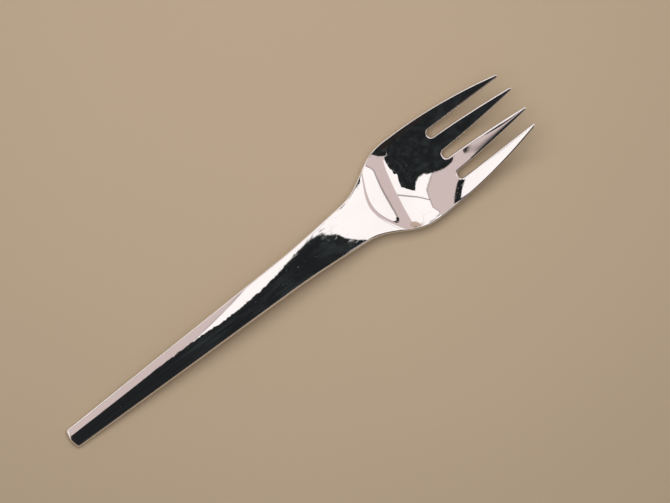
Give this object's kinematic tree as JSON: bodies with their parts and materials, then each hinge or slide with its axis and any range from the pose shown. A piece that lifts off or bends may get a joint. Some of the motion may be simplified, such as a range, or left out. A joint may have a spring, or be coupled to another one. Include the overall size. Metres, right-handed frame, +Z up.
{
  "type": "dessert fork",
  "caption": "Slender forged dessert fork with a tapering crowned handle, a scooped and dished head and slim tapering tines, polished to a mirror.",
  "frame": {"origin": "on the table, below the middle of the fork's length and width as it lies with its bowl up", "axes": "+X along the fork from the handle to the tines, +Y to the left of the tines, +Z up out of the bowl"},
  "size_m": [0.17, 0.029, 0.0143],
  "materials": {
    "polished_metal": "mirror polished, with fine scratches from use"
  },
  "bodies": {
    "root": {"fork": "polished_metal"}
  },
  "joints": []
}
